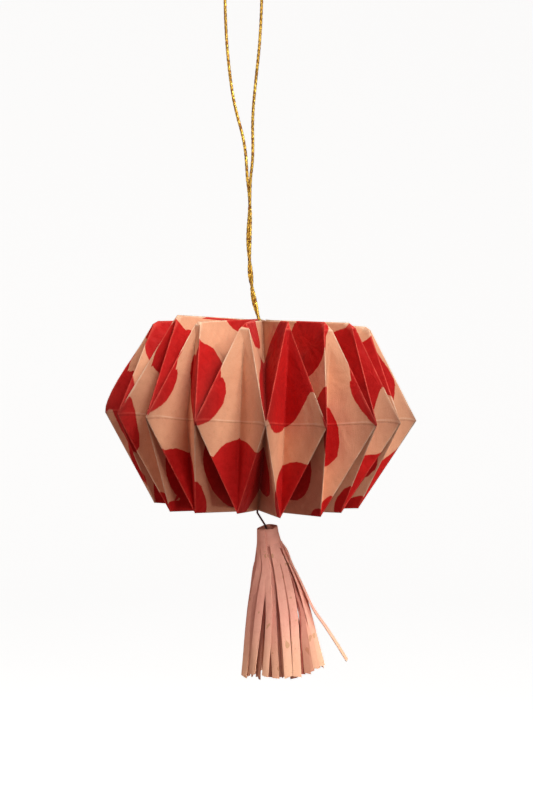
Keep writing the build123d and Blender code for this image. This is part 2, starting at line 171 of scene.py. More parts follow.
def paper_material(name, dots=True, tassel=False):
    """Soft handmade paper. "sheet" carries where a point is on the flat sheet, in
    millimetres, and how far it is from the nearest dot's edge; "folds" how far it
    is from a mountain fold, a valley fold and the crease round the middle, and on
    the tassel how much painted shade a strip gets in its third value."""
    g = Graph(name)
    sheet = g.attribute("sheet")
    u, v, sd = g.parts(sheet)
    flat = g.scaled(sheet, 1, 1, 0)
    folds = g.attribute("folds")
    ridge, groove, crease = g.parts(folds)

    cloudy = g.noise(flat, 0.09, 3.0, 0.6)
    mottle = g.noise(flat, 0.55, 3.0, 0.6)
    grain = g.noise(flat, 3.2, 2.0, 0.6)
    fibres = g.noise(g.scaled(sheet, 1.6, 0.35, 0), 1.0, 3.0, 0.65, 0.6)
    speck = g.noise(flat, 1.35, 1.0, 0.5)

    if tassel:
        base = g.mix(g.ramp(cloudy, 0.35, 0.65), PINK_T1, PINK_T2)
        base = g.mix(g.ramp(mottle, 0.40, 0.70, 0.0, 0.35), base, PINK_T3)
        # painted highlight: the strips turn lighter and peachier towards their lower ends
        base = g.mix(g.ramp(v, -26.0, -46.0, 0.0, 0.75), base, PEACH_HIGHLIGHT)
        spots = g.noise(g.scaled(flat, 1.0, 0.7, 1.0), 0.42, 0.0, 0.5)
        base = g.mix(g.ramp(spots, 0.735, 0.765, 0.0, 0.60), base, TAN)
    else:
        base = g.mix(g.ramp(cloudy, 0.35, 0.65), PINK_1, PINK_2)
        base = g.mix(g.ramp(mottle, 0.45, 0.75, 0.0, 0.30), base, PINK_3)
    base = g.mix(g.ramp(speck, 0.68, 0.74, 0.0, 0.28), base, SPECK)
    base = g.mix(g.ramp(grain, 0.35, 0.70, 0.0, 0.16), base, PALE)
    colour = base
    if dots:
        red = g.mix(g.ramp(cloudy, 0.35, 0.65), RED_1, RED_2)
        red = g.mix(g.ramp(mottle, 0.42, 0.72, 0.0, 0.45), red, RED_3)
        red = g.mix(g.ramp(grain, 0.50, 0.72, 0.0, 0.16), red, RED_PALE)
        wobble = g.math("ADD", sd, g.math("MULTIPLY", g.math("SUBTRACT", mottle, 0.5), 0.45))
        wobble = g.math("ADD", wobble, g.math("MULTIPLY", g.math("SUBTRACT", grain, 0.5), 0.25))
        inked = g.ramp(wobble, 0.16, -0.16)
        colour = g.mix(inked, base, red)
    # paper rubbed pale along the ridges, where the print has cracked, and a painted highlight where the edge catches
    # light
    patchy = g.ramp(g.noise(flat, 0.22, 3.0, 0.6), 0.30, 0.62, 0.25, 1.0)
    fine = g.ramp(g.noise(flat, 1.1, 2.0, 0.6), 0.30, 0.60, 0.45, 1.0)
    ridge_wear_and_highlight = g.math("MULTIPLY", g.ramp(ridge, 0.52, 0.08), g.math("MULTIPLY", patchy, fine))
    if dots:
        wear_and_highlight_colour = g.mix(inked, WEAR_AND_HIGHLIGHT_PINK, WEAR_AND_HIGHLIGHT_RED)
    else:
        wear_and_highlight_colour = WEAR_AND_HIGHLIGHT_PINK
    colour = g.mix(g.math("MULTIPLY", ridge_wear_and_highlight, 0.85), colour, wear_and_highlight_colour)
    if dots:
        # the crease round the middle: a pale raised line, partly wear and partly a painted highlight, over a thin dark
        # line of painted shade
        line = g.math("ABSOLUTE", g.math("SUBTRACT", crease, 0.05))
        pale = g.math("MULTIPLY", g.ramp(line, 0.26, 0.04), 0.42)
        colour = g.mix(g.math("MULTIPLY", pale, patchy), colour, wear_and_highlight_colour)
        under = g.math("ABSOLUTE", g.math("ADD", crease, 0.34))
        dark = g.math("MULTIPLY", g.ramp(under, 0.24, 0.04), 0.22)
        colour = g.mix(g.math("MULTIPLY", dark, fine), colour, PAINTED_SHADE_BROWN)
        # painted shade: darker close to the deep valleys of the grooves, and a little darker over a wider band round
        # them
        groove_painted_shade = g.math("MULTIPLY", g.ramp(groove, 2.0, 0.0), 0.36)
        colour = g.mix(groove_painted_shade, colour, PAINTED_SHADE_BROWN)
        colour = g.mix(g.math("MULTIPLY", g.ramp(groove, 8.0, 0.0), 0.30), colour, PAINTED_SHADE_BROWN)
    if tassel:
        # painted shade: the strips further in are painted darker and browner; "folds" carries how much, which grows
        # with how far in they are
        colour = g.mix(g.math("MULTIPLY", crease, 0.85), colour, INNER_STRIP_SHADE)
    g.put(g.bsdf.inputs["Base Color"], colour)

    g.put(g.bsdf.inputs["Roughness"], g.ramp(mottle, 0.3, 0.7, 0.70, 0.86))
    g.bsdf.inputs["Specular IOR Level"].default_value = 0.30
    tooth = g.math("ADD", g.math("MULTIPLY", grain, 0.5), g.math("MULTIPLY", fibres, 0.9))
    normal = g.bump(tooth, 0.42, 0.00016)
    wrinkle = g.noise(g.scaled(sheet, 1.0, 0.6, 0), 0.16, 2.0, 0.55, 0.3)
    normal = g.bump(wrinkle, 0.55, 0.0011, normal)
    if dots:
        lift = g.math("MULTIPLY", g.ramp(g.math("ABSOLUTE", crease), 0.45, 0.0), 0.5)
        normal = g.bump(lift, 0.35, 0.0002, normal)
    g.put(g.bsdf.inputs["Normal"], normal)
    return g.mat


PINK_1 = srgb(236, 174, 136)
PINK_2 = srgb(228, 164, 128)
PINK_3 = srgb(212, 146, 114)
PINK_T1 = srgb(250, 188, 168)
PINK_T2 = srgb(245, 178, 160)
PINK_T3 = srgb(232, 160, 142)
# the brown of the painted shade on the tassel's inner strips
INNER_STRIP_SHADE = srgb(146, 50, 42)
# the light peach of the painted highlight low on the strips
PEACH_HIGHLIGHT = srgb(254, 208, 168)
TAN = srgb(196, 146, 96)
SPECK = srgb(190, 140, 92)
PALE = srgb(250, 214, 186)
RED_1 = srgb(201, 15, 13)
RED_2 = srgb(190, 10, 10)
RED_3 = srgb(168, 4, 6)
RED_PALE = srgb(228, 52, 42)
# the pale of wear on the ridges, which also stands for a painted highlight there
WEAR_AND_HIGHLIGHT_PINK = srgb(255, 226, 196)
WEAR_AND_HIGHLIGHT_RED = srgb(238, 92, 78)
# a dark brown mixed in as painted shade, in the grooves and under the crease round the middle
PAINTED_SHADE_BROWN = srgb(96, 38, 30)

dotted_paper = paper_material("dotted_paper_look")
tassel_paper = paper_material("tassel_paper_look", dots=False, tassel=True)


def gold_material():
    g = Graph("gold_cord_look")
    at_uv = g.attribute("strand")
    s, a, _ = g.parts(at_uv)
    along = g.scaled(at_uv, 1, 0, 0)
    # the cord's colour holds painted light and shade: large lighter and darker patches, small dark flecks of painted
    # shade and bright yellow spots of painted glint
    light_and_shade_patch = g.noise(g.scaled(at_uv, 0.55, 0.40, 0), 1.0, 2.0, 0.5)
    flake_and_shade = g.noise(g.scaled(at_uv, 1.1, 1.0, 0), 1.0, 2.0, 0.5)
    gold = g.mix(g.ramp(light_and_shade_patch, 0.42, 0.58), srgb(160, 102, 34), srgb(252, 208, 88))
    gold = g.mix(g.ramp(flake_and_shade, 0.48, 0.60, 0.0, 0.85), gold, srgb(78, 40, 10))
    # bright yellow spots of painted glint
    gold = g.mix(g.ramp(g.noise(g.scaled(at_uv, 1.9, 2.0, 0), 1.3, 1.0, 0.5), 0.64, 0.70, 0.0, 0.9), gold, srgb(255, 240, 140))
    g.put(g.bsdf.inputs["Base Color"], gold)
    g.bsdf.inputs["Metallic"].default_value = 0.80
    g.put(g.bsdf.inputs["Roughness"], g.ramp(flake_and_shade, 0.3, 0.7, 0.24, 0.50))
    wrap = g.node("ShaderNodeTexWave", wave_type="BANDS", bands_direction="X", wave_profile="SIN")
    g.put(wrap.inputs["Vector"], g.scaled(at_uv, 1.0, 0.55, 0))
    wrap.inputs["Scale"].default_value = 1.1
    wrap.inputs["Distortion"].default_value = 0.6
    g.put(g.bsdf.inputs["Normal"], g.bump(wrap.outputs["Fac"], 0.45, 0.00008, g.bump(flake_and_shade, 0.5, 0.0001)))
    return g.mat


def thread_material():
    g = Graph("dark_thread_look")
    co = g.node("ShaderNodeTexCoord").outputs["Object"]
    n = g.noise(co, 2200, 3.0, 0.6)
    g.put(g.bsdf.inputs["Base Color"], g.mix(g.ramp(n, 0.3, 0.7), srgb(40, 14, 16), srgb(92, 44, 42)))
    g.bsdf.inputs["Roughness"].default_value = 0.75
    g.bsdf.inputs["Sheen Weight"].default_value = 0.2
    w = g.node("ShaderNodeTexWave", wave_type="BANDS", bands_direction="DIAGONAL", wave_profile="SIN")
    g.put(w.inputs["Vector"], co)
    w.inputs["Scale"].default_value = 900
    w.inputs["Distortion"].default_value = 1.0
    g.put(g.bsdf.inputs["Normal"], g.bump(w.outputs["Fac"], 0.6, 0.00008, g.bump(n, 0.4, 0.00008)))
    return g.mat


gold_cord = gold_material()
dark_thread = thread_material()

# --------------------------------------------------------------- the gold cord
# The route's points are those of the CAD, from the twisted stretch up the left
# strand, over the top and down the right one. The twisted stretch is the same
# cord twice: it goes up as one strand of the twist and comes down as the other.
LOOP = [
    at(-3.70, 72.30, 0.10), at(-4.40, 82.83, 0.05), at(-7.55, 93.55), at(-9.11, 103.62),
    at(-10.24, 116.16), (-5.75, 0, 0), (5.75, 0, 0), at(0.29, 114.91),
    at(-1.16, 101.74), at(-2.25, 90.38), at(-1.95, 79.04, -0.05), at(-2.80, 72.30, -0.10),
]
TWIST = [
    at(-3.28, 72.30), at(-2.80, 63.40), at(-3.36, 54.30), at(-3.09, 46.70),
    at(-2.45, 39.60), at(-1.36, 33.40), at(0.38, 27.55),
]
CORD_R = 0.46


def nurbs_line(points, name="route", per_span=12):
    """Points along the smooth NURBS line that has these control points, in millimetres."""
    cu = bpy.data.curves.new(name, "CURVE")
    cu.dimensions = "3D"
    cu.resolution_u = per_span
    sp = cu.splines.new("NURBS")
    sp.points.add(len(points) - 1)
    for p, co in zip(sp.points, points):
        p.co = (*(float(c) * MM for c in co), 1.0)
    sp.order_u = 3
    sp.use_endpoint_u = True
    ob = bpy.data.objects.new(name, cu)
    me = bpy.data.meshes.new_from_object(ob)
    line = np.array([v.co for v in me.vertices]) / MM
    bpy.data.objects.remove(ob)
    bpy.data.curves.remove(cu)
    bpy.data.meshes.remove(me)
    return line


def evenly(line, step):
    """The same line with points a fixed step apart."""
    d = np.concatenate([[0], np.cumsum(np.linalg.norm(np.diff(line, axis=0), axis=1))])
    n = max(2, int(round(d[-1] / step)) + 1)
    s = np.linspace(0, d[-1], n)
    return np.stack([np.interp(s, d, line[:, i]) for i in range(3)], 1), s


def tangents(line):
    t = np.gradient(line, axis=0)
    return t / np.linalg.norm(t, axis=1)[:, None]


def carried_frames(line, start=(0, -1, 0)):
    """Two directions across the line at each point, carried along it without twist."""
    t = tangents(line)
    n = np.array(start, float)
    out = []
    for ti in t:
        n = unit(n - np.dot(n, ti) * ti)
        out.append((n, np.cross(ti, n)))
    return t, out


twist_line, twist_s = evenly(nurbs_line(TWIST), 0.55)
_, twist_frames = carried_frames(twist_line, (1, 0, 0))


def strand(side):
    """One strand of the twisted stretch, from its top down."""
    pts = []
    for p, s, (n, b) in zip(twist_line, twist_s, twist_frames):
        a = math.pi * float(np.interp(s, [0, 7.5, 17.6, 25, 29, 32.6, 37.2, 42, 46], [0.13, 0.5, 1.0, 1.5, 2.0, 2.5, 3.0, 3.5, 3.9]))
        a += 0 if side else math.pi
        r = 0.37 * (0.25 + 0.75 * min(1.0, s / 3.0))
        if s < 3.0:
            p = p + (1 - s / 3.0) * ((LOOP[-1] - TWIST[0]) if side else (LOOP[0] - TWIST[0])) * 0.9
        pts.append(p + r * (math.cos(a) * n + math.sin(a) * b))
    return pts


left, right = strand(False), strand(True)
cord_points = left[::-1] + [np.array(p, float) for p in LOOP[1:-1]] + right
cord_line, cord_s = evenly(nurbs_line(cord_points, "cord_route"), 0.16)


def cord_mesh(name, line, s, radius, material):
    """A foil-wrapped cord: three plies laid round each other."""
    t, frames = carried_frames(line, (0, -1, 0))
    sides = 14
    verts, faces, uv = [], [], []
    for p, si, (n, b) in zip(line, s, frames):
        for j in range(sides):
            a = 2 * math.pi * j / sides
            ply = math.cos(3 * (a - si * 2 * math.pi / 4.6))
            wob = noise.noise(Vector((si * 0.9, math.cos(a), math.sin(a))))
            r = radius * (0.97 + 0.075 * ply + 0.07 * wob)
            verts.append(p + r * (math.cos(a) * n + math.sin(a) * b))
            uv.append((si, a - si * 2 * math.pi / 4.6, 0.0))
    for i in range(len(line) - 1):
        for j in range(sides):
            k = (j + 1) % sides
            faces.append((i * sides + j, i * sides + k, (i + 1) * sides + k, (i + 1) * sides + j))
    faces.append(tuple(range(sides))[::-1])
    last = (len(line) - 1) * sides
    faces.append(tuple(range(last, last + sides)))
    ob = mesh_object(name, verts, faces, material)
    a = ob.data.attributes.new("strand", "FLOAT_VECTOR", "POINT")
    a.data.foreach_set("vector", np.array(uv, np.float32).ravel())
    return ob


hanging_cord = cord_mesh("hanging_cord", cord_line, cord_s, CORD_R, gold_cord)
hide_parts("hanging_cord_loop", "hanging_cord_twist")

# ------------------------------------------------------------- the paper ball
# The fold points, as in the CAD: distance from the ball's axis, azimuth, height.
E = [(46.53, 2.0, -0.02), (46.37, 23.6, -0.33), (46.61, 45.3, 0.14), (46.56, 61.5, 0.14), (47.85, 86.0, -0.10), (46.85, 111.4, -0.03), (46.76, 132.7, -0.12), (46.66, 157.6, -0.03), (46.84, -179.3, 0.14), (46.82, -158.3, 0.04), (46.74, -134.6, 0.01), (46.74, -113.1, 0.04), (47.25, -88.6, 0.05), (46.65, -63.0, 0.52), (47.15, -42.8, 0.64), (45.97, -22.9, 0.36)]
M = [(33.47, 11.9, -0.28), (33.47, 34.9, -0.42), (32.82, 53.0, 0.26), (34.08, 74.1, 0.10), (34.30, 98.6, -0.13), (33.57, 121.8, -0.02), (34.08, 144.9, -0.02), (33.81, 169.4, 0.12), (33.58, -168.9, 0.15), (33.93, -146.7, 0.07), (33.62, -123.9, 0.08), (34.02, -100.8, -0.09), (33.85, -76.1, 0.36), (32.92, -51.5, 0.50), (34.10, -37.5, 0.07), (34.69, -9.1, 0.26)]
T = [(32.19, 13.2, 26.41), (32.24, 36.1, 26.41), (32.60, 55.4, 27.31), (33.50, 76.1, 26.87), (32.97, 98.5, 26.70), (32.79, 122.2, 26.97), (32.88, 144.7, 26.84), (32.83, 168.9, 27.03), (32.77, -168.7, 27.13), (32.80, -146.8, 26.94), (32.76, -124.1, 27.03), (32.86, -100.1, 26.76), (33.36, -78.6, 27.25), (32.61, -51.0, 28.10), (32.14, -35.0, 27.05), (31.96, -8.9, 26.24)]
S = [(29.85, 14.5, 28.69), (29.65, 37.1, 28.91), (30.48, 56.2, 29.00), (31.80, 78.2, 28.12), (30.73, 98.7, 28.20), (30.97, 122.2, 28.12), (30.99, 144.7, 28.04), (30.52, 168.9, 28.54), (31.12, -169.0, 28.15), (30.55, -146.9, 28.40), (30.50, -124.2, 28.51), (30.90, -99.9, 28.02), (31.65, -80.2, 28.34), (31.08, -52.2, 30.00), (31.26, -35.6, 28.05), (29.83, -8.9, 28.07)]
V = [(24.21, 2.1, 15.66), (24.05, 25.3, 15.26), (24.30, 48.9, 15.49), (24.37, 64.9, 15.57), (24.38, 87.4, 14.96), (24.47, 111.6, 15.39), (24.40, 133.0, 15.35), (24.41, 157.4, 15.50), (24.47, -179.5, 15.53), (24.44, -158.5, 15.45), (24.42, -134.7, 15.48), (24.44, -113.2, 15.52), (24.36, -88.3, 15.13), (24.57, -65.2, 16.15), (24.51, -43.0, 15.64), (23.96, -23.0, 15.88)]
P = [(3.31, 1.0, 29.31), (3.28, 23.4, 29.46), (3.33, 46.6, 29.34), (3.39, 69.3, 29.37), (3.41, 91.3, 29.30), (3.37, 113.9, 29.23), (3.36, 136.5, 29.28), (3.35, 159.0, 29.35), (3.36, -178.5, 29.31), (3.36, -156.0, 29.30), (3.35, -133.5, 29.34), (3.36, -111.0, 29.32), (3.42, -88.3, 29.35), (3.38, -66.6, 29.52), (3.34, -43.5, 29.15), (3.24, -20.7, 29.72)]
Q = [(10.89, 13.2, 16.68), (11.13, 35.4, 16.76), (10.72, 54.4, 16.64), (11.28, 76.1, 16.35), (11.19, 99.2, 16.09), (10.76, 121.9, 16.18), (10.86, 144.6, 16.09), (11.12, 168.9, 16.38), (10.68, -169.1, 16.21), (11.06, -147.0, 16.31), (10.96, -124.3, 16.45), (10.93, -100.6, 16.09), (11.57, -77.8, 16.26), (11.57, -53.2, 16.25), (10.00, -35.0, 16.39), (10.12, -10.0, 16.80)]
B = [(32.51, 11.5, -27.19), (32.46, 34.0, -27.14), (32.11, 49.6, -26.63), (31.98, 70.6, -26.44), (32.69, 99.4, -26.82), (32.55, 121.3, -26.87), (32.63, 144.9, -26.75), (32.59, 169.9, -26.66), (32.56, -169.1, -26.70), (32.61, -146.8, -26.67), (32.51, -123.7, -26.75), (32.63, -101.5, -26.82), (32.42, -73.6, -26.37), (32.83, -51.1, -27.50), (32.36, -33.7, -26.95), (32.19, -10.3, -26.24)]
LV = [(24.60, 1.8, -15.61), (24.42, 22.5, -15.70), (24.32, 40.3, -14.95), (24.06, 58.4, -14.80), (24.51, 86.5, -15.37), (24.45, 111.2, -15.14), (24.47, 132.7, -15.31), (24.45, 157.5, -15.31), (24.41, -179.1, -15.00), (24.45, -158.2, -15.11), (24.44, -134.6, -15.21), (24.41, -113.1, -15.15), (24.40, -89.1, -15.29), (24.09, -61.2, -14.54), (24.73, -40.5, -14.77), (24.07, -21.6, -15.24)]
LP = [(3.36, 2.1, -28.61), (3.32, 24.8, -28.74), (3.31, 46.5, -28.60), (3.25, 69.1, -28.67), (3.28, 92.1, -28.73), (3.35, 114.0, -28.65), (3.35, 136.5, -28.69), (3.34, 159.0, -28.71), (3.35, -178.5, -28.63), (3.35, -156.0, -28.63), (3.35, -133.5, -28.68), (3.34, -111.0, -28.68), (3.30, -88.7, -28.69), (3.30, -65.8, -28.68), (3.40, -43.4, -28.26), (3.29, -20.1, -28.95)]
LQ = [(10.02, 12.0, -15.43), (9.99, 34.2, -15.33), (9.48, 52.4, -15.26), (9.49, 73.7, -14.79), (10.23, 99.4, -14.98), (10.03, 121.5, -15.17), (10.11, 144.6, -15.04), (10.02, 169.2, -15.07), (9.97, -169.1, -15.13), (10.04, -146.9, -15.05), (9.92, -124.1, -15.20), (10.15, -101.2, -15.01), (9.95, -75.5, -14.62), (10.47, -53.2, -14.71), (9.61, -34.0, -15.33), (9.23, -10.3, -15.57)]
ROWS = {"E": E, "M": M, "T": T, "S": S, "V": V, "P": P, "Q": Q, "B": B, "LV": LV, "LP": LP, "LQ": LQ}
ON_E = ("E", "V", "P", "LV", "LP")

# The flat sheet, in millimetres: the width of each pleat's half, counted from E_0.
HALVES = [14.82, 15.07, 15.08, 14.98, 14.75, 14.93, 15.26, 15.44, 15.5, 15.45, 15.12, 15.22, 15.3, 15.4, 15.27, 15.25, 15.13, 15.17, 15.24, 15.33, 15.1, 15.12, 15.38, 15.42, 15.65, 15.7, 15.82, 15.43, 14.38, 15.19, 14.76, 14.35]
ABOVE_T = [3.1, 3.41, 2.44, 2.69, 2.58, 2.07, 2.14, 2.67, 1.86, 2.62, 2.6, 2.29, 2.14, 2.12, 1.24, 2.79]
TOP_DIAMOND, LOW_DIAMOND, TOP_REST, LOW_REST = 27.24, 27.12, 25.23, 25.12
CUM = np.concatenate([[0], np.cumsum(HALVES)])
ROUND = float(CUM[-1])
FIRST = 8                # the sheet's ends meet in the groove at the back
BLUNT = [1.5, 3.0, 2.0, 2.4, 1.6, 2.6, 1.9, 2.2, 1.4, 2.5, 2.0, 1.7, 2.3, 1.6, 2.0, 2.75]   # a diamond's upper tip is blunt by this much
TIP_DROP = 3.7           # and its small facet reaches this far down the valley

# The panels of one module, with the blunt tip: L and R are its two corners and X is
# on the valley below it. A "+" means the next module.
PANELS = [
    ("E", "L", "X"), ("E", "X", "M"), ("X", "R", "E+"), ("M", "X", "E+"), ("L", "R", "X"),
    ("E", "M", "B"), ("M", "E+", "B"),
    ("E", "V", "L"), ("R", "V+", "E+"), ("V", "S", "L"), ("R", "S", "V+"), ("L", "S", "R"),
    ("V", "P", "S"), ("S", "P+", "V+"), ("S", "P", "Q"), ("S", "Q", "P+"),
    ("E", "B", "LV"), ("B", "E+", "LV+"), ("LV", "B", "LP"), ("B", "LV+", "LP+"),
    ("B", "LQ", "LP"), ("B", "LP+", "LQ"),
]
MOUNTAINS = [("E", "L"), ("R", "E+"), ("L", "S"), ("R", "S"), ("L", "R"), ("S", "P"), ("S", "P+"), ("E", "B"), ("B", "E+"), ("B", "LP"), ("B", "LP+")]
VALLEYS = [("X", "M"), ("X", "L"), ("X", "R"), ("M", "B"), ("E", "V"), ("V", "P"), ("E", "LV"), ("LV", "LP"), ("S", "Q"), ("B", "LQ")]


def fold_point(kind, k):
    """A fold point in the part's frame, for module k counted round from 0 to 15 and on."""
    k %= 16
    if kind in ("L", "R", "X"):
        t = fold_point("T", k)
        a = math.radians(T[k][1])
        across = np.array((math.cos(a), math.sin(a), 0.0))
        if kind == "X":
            m = fold_point("M", k)
            return t + unit(m - t) * TIP_DROP
        return t + across * (BLUNT[k] / 2) * (-1 if kind == "L" else 1)
    r, az, z = ROWS[kind][k]
    a = math.radians(az)
    return lean(r * math.sin(a), -r * math.cos(a), z)


def sheet_point(kind, k, plus):
    """The same point on the flat sheet. Module numbers run from FIRST to FIRST + 16."""
    c = 2 * k + (0 if kind in ON_E else 1) + (2 if plus else 0)
    lap, col = divmod(c, 32)
    u = CUM[col] + (lap - 1) * ROUND
    kk = (k + (1 if plus else 0)) % 16
    if kind == "L":
        u -= BLUNT[kk] / 2
    if kind == "R":
        u += BLUNT[kk] / 2
    v = {
        "E": 0, "M": 0, "T": TOP_DIAMOND, "L": TOP_DIAMOND, "R": TOP_DIAMOND, "X": TOP_DIAMOND - TIP_DROP,
        "S": TOP_DIAMOND + ABOVE_T[kk], "V": TOP_DIAMOND, "P": TOP_DIAMOND + TOP_REST, "Q": TOP_DIAMOND + TOP_REST,
        "B": -LOW_DIAMOND, "LV": -LOW_DIAMOND, "LP": -LOW_DIAMOND - LOW_REST, "LQ": -LOW_DIAMOND - LOW_REST,
    }[kind]
    return np.array((u, v))


# Large soft dots printed on the sheet: centre u, v, half axes and the turn of the first one.
DOTS = [
    (-32.1, 12.5, 14.4, 12.0, 124), (11.7, 17.3, 20.1, 15.7, 70), (37.0, 30.5, 10.9, 8.6, 58),
    (38.9, -0.6, 13.5, 8.3, 127), (67.7, 14.0, 15.9, 19.3, 31), (99.3, 15.7, 19.1, 9.9, 134),
    (-57.3, 14.3, 8.3, 13.8, 169), (-9.0, -20.9, 13.3, 18.2, 42), (23.8, -24.2, 11.9, 15.4, 41),
    (-54.5, -24.8, 13.9, 18.5, 141), (54.2, -30.0, 11.8, 9.9, 166), (84.1, -20.3, 14.4, 11.5, 14),
    (-17.9, 41.6, 9.7, 19.0, 46), (-36.1, 53.4, 14.4, 7.8, 92), (-63.5, 17.2, 15.3, 13.6, 165),
    (-97.8, 1.3, 18.2, 9.0, 134), (-88.5, -33.2, 19.1, 13.7, 5), (-98.9, 30.0, 19.0, 9.0, 151),
    (-106.7, -8.2, 15.0, 7.4, 99), (96.0, 44.0, 12.5, 11.5, 20), (115.1, -20.7, 8.9, 19.2, 140),
    (104.0, -42.0, 12.0, 11.0, 15), (20.0, -51.0, 11.5, 12.0, 0), (-27.3, -27.6, 8.9, 19.1, 178),
    (-72.0, -50.0, 11.0, 12.0, 0), (128.0, 16.0, 12.5, 12.0, 134), (140.0, -16.0, 12.5, 12.0, 50),
    (151.0, 36.0, 12.0, 13.0, 0), (160.0, 5.0, 12.5, 11.5, 120), (168.0, -28.0, 12.5, 12.5, 0),
    (181.0, 24.0, 13.0, 12.0, 80), (193.0, -7.0, 12.0, 12.5, 0), (203.0, 42.0, 12.0, 12.0, 0),
    (205.0, -36.0, 12.5, 12.0, 30), (217.0, 12.0, 13.0, 12.0, 0), (232.0, -18.0, 12.0, 12.5, 60),
    (240.0, 38.0, 12.5, 12.0, 0), (-134.0, 10.0, 12.5, 12.5, 0), (-142.0, -24.0, 12.0, 12.5, 0),
    (-146.0, 42.0, 12.5, 12.0, 0), (-163.0, 6.0, 13.0, 12.0, 40), (-174.0, -30.0, 12.0, 12.5, 0),
    (-180.0, 30.0, 12.5, 12.0, 100), (-195.0, -4.0, 12.5, 12.0, 0), (-206.0, -36.0, 12.0, 12.0, 0),
    (-212.0, 22.0, 12.5, 12.5, 0), (-226.0, -10.0, 12.0, 12.5, 30), (-240.0, 30.0, 12.0, 12.0, 0),
    (-125.0, -44.0, 12.0, 11.5, 0), (127.0, 48.0, 11.5, 12.0, 0), (-100.0, 46.0, 12.0, 11.5, 0),
    (-236.0, -42.0, 12.0, 12.0, 0), (-112.0, 2.3, 7.5, 14.6, 28), (60.0, -46.0, 8.0, 8.0, 0),
    (-72.9, 51.2, 15.1, 7.5, 101), (-119.4, 15.5, 7.6, 15.9, 169), (60.0, -46.0, 8.0, 8.0, 0),
    (-59.0, 47.2, 12.9, 7.5, 122),
]


def dot_distance(u, v):
    """Roughly how far, in millimetres, a point of the sheet is outside the nearest dot's edge."""
    best = np.full(np.shape(u), 50.0)
    for cu, cv, a, b, turn in DOTS:
        c, s = math.cos(math.radians(turn)), math.sin(math.radians(turn))
        x, y = (u - cu) * c + (v - cv) * s, -(u - cu) * s + (v - cv) * c
        g = np.sqrt((x / a) ** 2 + (y / b) ** 2)
        slope = np.sqrt((x / a ** 2) ** 2 + (y / b ** 2) ** 2) / np.maximum(g, 1e-6)
        d = np.where(g < 0.2, -0.8 * min(a, b), (g - 1) / np.maximum(slope, 1e-6))
        best = np.minimum(best, d)
    return best


def segment_distance(p, a, b):
    ab = b - a
    t = np.clip(((p - a) @ ab) / (ab @ ab), 0, 1)
    return np.linalg.norm(p - (a + t[:, None] * ab), axis=1)


N = 12


def spaced_row(t):
    """Rows close to the folds, wider apart inside a panel."""
    return t - 0.75 / (2 * math.pi) * math.sin(2 * math.pi * t)


GRID = [(i, j, N - i - j) for i in range(N + 1) for j in range(N + 1 - i)]
GRID_AT = {g: n for n, g in enumerate(GRID)}
BARY = np.array([[spaced_row(c / N) for c in g] for g in GRID])
BARY /= BARY.sum(1)[:, None]
GRID_FACES = []
for i in range(N):
    for j in range(N - i):
        k = N - i - j
        GRID_FACES.append((GRID_AT[(i, j, k)], GRID_AT[(i + 1, j, k - 1)], GRID_AT[(i, j + 1, k - 1)]))
        if k >= 2:
            GRID_FACES.append((GRID_AT[(i + 1, j, k - 1)], GRID_AT[(i + 1, j + 1, k - 2)], GRID_AT[(i, j + 1, k - 1)]))

verts, sheet_uv, keys, faces, kinds_at = [], [], {}, [], []
fixed_fold = []          # per vertex: 0 free, 1 on a mountain, 2 on a valley, 3 on the sheet's edge, 4 a fold point
panel_of = []
REAL = {}
for a, b in MOUNTAINS:
    REAL[frozenset((a, b))] = 1
for a, b in VALLEYS:
    REAL[frozenset((a, b))] = 2
REAL[frozenset(("P", "Q"))] = REAL[frozenset(("Q", "P+"))] = 3
REAL[frozenset(("LP", "LQ"))] = REAL[frozenset(("LQ", "LP+"))] = 3


def node_id(name, k):
    """(kind, module) with the module counted on past the seam."""
    return (name.rstrip("+"), k + (1 if name.endswith("+") else 0))


def edge_kind(a, b):
    """Which kind of fold lies between two named points of one module."""
    f = REAL.get(frozenset((a, b)))
    if f is None and a.endswith("+") and b.endswith("+"):
        f = REAL.get(frozenset((a.rstrip("+"), b.rstrip("+"))))
    return f or 0


face_panels = []
for k in range(FIRST, FIRST + 16):
    for pi, panel in enumerate(PANELS):
        ids = [node_id(n, k) for n in panel]
        pts = np.array([fold_point(i[0], i[1]) for i in ids])
        uvs = np.array([sheet_point(n.rstrip("+"), k, n.endswith("+")) for n in panel])
        local = []
        for g, w in zip(GRID, BARY):
            used = [q for q in range(3) if g[q] > 0]
            if len(used) == 3:
                key = ("f", k, pi, g)
                kind = 0
            elif len(used) == 2:
                x, y = used
                ends = sorted(((ids[x], g[x]), (ids[y], g[y])))
                # the tube closes: points of the last module's far side are the first one's
                key = ("e", tuple((i[0], i[1] % 16 if i[1] == FIRST + 16 else i[1], n) for i, n in ends))
                key = ("e", tuple(sorted(key[1])))
                kind = edge_kind(panel[x], panel[y])
            else:
                i = ids[used[0]]
                key = ("n", i[0], i[1] % 16 if i[1] == FIRST + 16 else i[1])
                kind = 4
            if key not in keys:
                keys[key] = len(verts)
                verts.append(w @ pts)
                fixed_fold.append(kind)
            local.append((keys[key], w @ uvs))
        for f in GRID_FACES:
            faces.append(tuple(local[q][0] for q in f))
            sheet_uv.append(tuple(local[q][1] for q in f))
            face_panels.append((k, pi))
verts = np.array(verts)
fixed_fold = np.array(fixed_fold)
F = np.array(faces)
UV = np.array(sheet_uv)          # per face corner, so the closing seam keeps both ends' values
print("ball points", len(verts), "faces", len(F))

